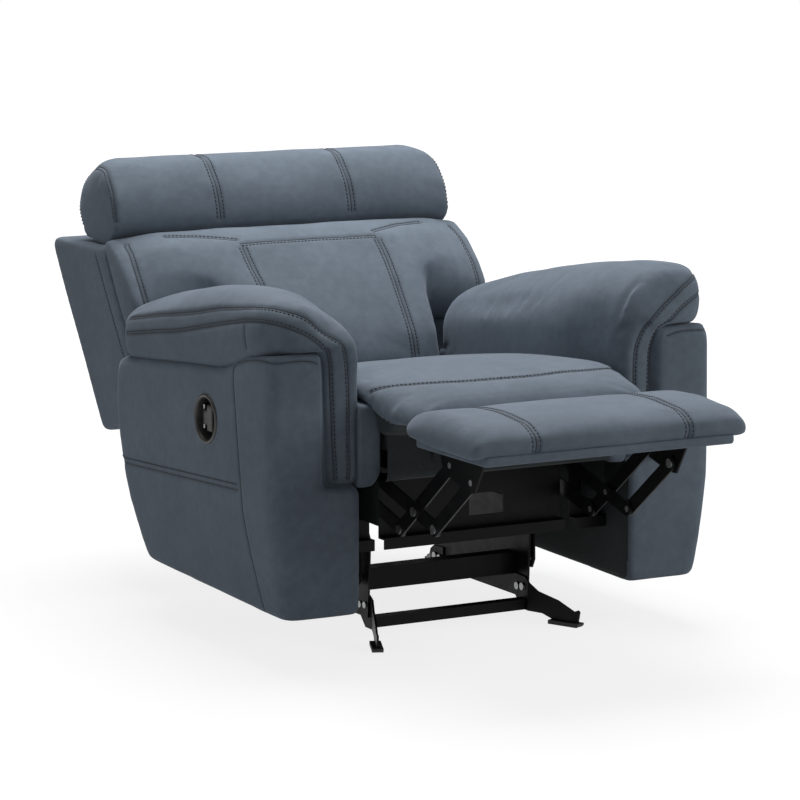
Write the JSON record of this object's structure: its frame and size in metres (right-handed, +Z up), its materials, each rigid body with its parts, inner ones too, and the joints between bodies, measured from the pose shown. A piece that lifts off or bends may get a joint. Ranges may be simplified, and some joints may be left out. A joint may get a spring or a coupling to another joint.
{
  "type": "glider recliner",
  "caption": "Upholstered glider recliner armchair with pillow arms, a fold-out footrest on link arms, a reclining back and a steel glider base.",
  "frame": {"origin": "on the floor, under the middle of the overall box with the footrest out", "axes": "+Z up, +Y towards the chair's rear so the sitter looks along -Y, +X towards the sitter's left"},
  "size_m": [0.9926, 1.5578, 0.8905],
  "materials": {
    "upholstery": "soft brushed suede-like cloth, blue grey",
    "black_steel": "semi-gloss black powder coat",
    "zinc_steel": "zinc plated",
    "frame_wood": "raw plywood and sawn timber",
    "bezel_plastic": "dark bronze, satin",
    "foot_plastic": "black, matte"
  },
  "bodies": {
    "base": {"base_side_rail_right": "black_steel", "base_side_rail_left": "black_steel", "base_front_legs": "black_steel", "base_rear_legs": "black_steel", "base_front_bar": "black_steel", "base_rear_bar": "black_steel", "base_upper_bar": "black_steel", "foot_glides": "foot_plastic", "base_bolts": "zinc_steel", "glide_top_pins": "zinc_steel"},
    "front_swing": {"front_swing_links": "black_steel"},
    "rear_swing": {"rear_swing_links": "black_steel"},
    "chassis": {"mech_plate_right": "black_steel", "mech_plate_left": "black_steel", "glide_hangers": "black_steel", "hanger_rivets": "zinc_steel", "glide_lower_pins": "zinc_steel", "mech_pivot_pins": "zinc_steel", "front_stretcher": "black_steel", "rear_stretcher": "black_steel", "front_channel": "black_steel", "seat_side_rails": "frame_wood", "seat_cross_rails": "frame_wood", "seat_springs": "zinc_steel", "seat_cushion": "upholstery", "bridge_rod": "zinc_steel", "bridge_tabs": "zinc_steel", "arm_board_right": "frame_wood", "arm_board_left": "frame_wood", "arm_rails": "frame_wood", "arm_side_panel_right": "upholstery", "arm_side_panel_left": "upholstery", "arm_front_panel_right": "upholstery", "arm_front_panel_left": "upholstery", "arm_pad_right": "upholstery", "arm_pad_left": "upholstery", "lever_bezel": "bezel_plastic", "lever_pin": "zinc_steel"},
    "lever": {"release_lever": "bezel_plastic"},
    "bridge": {"chaise_bridge": "upholstery"},
    "drive_links": {"drive_tube": "black_steel", "drive_link_right": "black_steel", "drive_link_left": "black_steel", "drive_link_pins": "zinc_steel"},
    "rear_links": {"rear_links": "black_steel", "rear_link_pins": "zinc_steel"},
    "cross_links": {"cross_links": "black_steel"},
    "front_links": {"front_links": "black_steel"},
    "footrest": {"footrest_brackets": "black_steel", "footrest_pins": "zinc_steel", "footrest_board": "frame_wood", "footrest_pad": "upholstery"},
    "back": {"back_posts": "frame_wood", "back_brackets": "black_steel", "back_cross_boards": "frame_wood", "back_rear_panel": "upholstery", "back_wing_right": "upholstery", "back_wing_left": "upholstery", "lumbar_cushion": "upholstery", "head_roll": "upholstery"}
  },
  "joints": [
    {"name": "glide_swing", "type": "hinge", "parent": "base", "child": "front_swing", "pos_m": [0, -0.15, 0.212], "axis": [-1, 0, 0], "range_deg": [-24, 24]},
    {"name": "glide_carry", "type": "hinge", "parent": "front_swing", "child": "chassis", "pos_m": [0, -0.15, 0.117], "axis": [-1, 0, 0], "range_deg": [-24, 24]},
    {"name": "glide_rear_swing", "type": "hinge", "parent": "base", "child": "rear_swing", "pos_m": [0, 0.17, 0.212], "axis": [-1, 0, 0], "range_deg": [-24, 24]},
    {"name": "footrest_drive", "type": "hinge", "parent": "chassis", "child": "drive_links", "pos_m": [0, -0.24, 0.343], "axis": [1, 0, 0], "range_deg": [0, 90]},
    {"name": "footrest_rear_turn", "type": "hinge", "parent": "chassis", "child": "rear_links", "pos_m": [0, -0.18484, 0.2999], "axis": [1, 0, 0], "range_deg": [0, 90]},
    {"name": "footrest_cross_turn", "type": "hinge", "parent": "drive_links", "child": "cross_links", "pos_m": [0, -0.42063, 0.2946], "axis": [1, 0, 0], "range_deg": [-90, 0]},
    {"name": "footrest_front_turn", "type": "hinge", "parent": "drive_links", "child": "front_links", "pos_m": [0, -0.4979, 0.2739], "axis": [1, 0, 0], "range_deg": [-90, 0]},
    {"name": "footrest_tilt", "type": "hinge", "parent": "front_links", "child": "footrest", "pos_m": [0, -0.63974, 0.38471], "axis": [1, 0, 0], "range_deg": [0, 90]},
    {"name": "bridge_fold", "type": "hinge", "parent": "chassis", "child": "bridge", "pos_m": [0, -0.392, 0.45], "axis": [1, 0, 0], "range_deg": [0, 80]},
    {"name": "back_recline", "type": "hinge", "parent": "chassis", "child": "back", "pos_m": [0, 0.265, 0.375], "axis": [-1, 0, 0], "range_deg": [-14, 12]},
    {"name": "lever_pull", "type": "hinge", "parent": "chassis", "child": "lever", "pos_m": [-0.481, -0.069, 0.448], "axis": [0, 0, -1], "range_deg": [0, 35], "stiffness_Nm_per_rad": 1.2}
  ],
  "couplings": [
    {"joint": "glide_carry", "follows": "glide_swing", "ratio": -1},
    {"joint": "glide_rear_swing", "follows": "glide_swing", "ratio": 1},
    {"joint": "footrest_rear_turn", "follows": "footrest_drive", "ratio": 1},
    {"joint": "footrest_cross_turn", "follows": "footrest_drive", "ratio": -1},
    {"joint": "footrest_front_turn", "follows": "footrest_drive", "ratio": -1},
    {"joint": "footrest_tilt", "follows": "footrest_drive", "ratio": 1},
    {"joint": "bridge_fold", "follows": "footrest_drive", "ratio": 0.888}
  ]
}
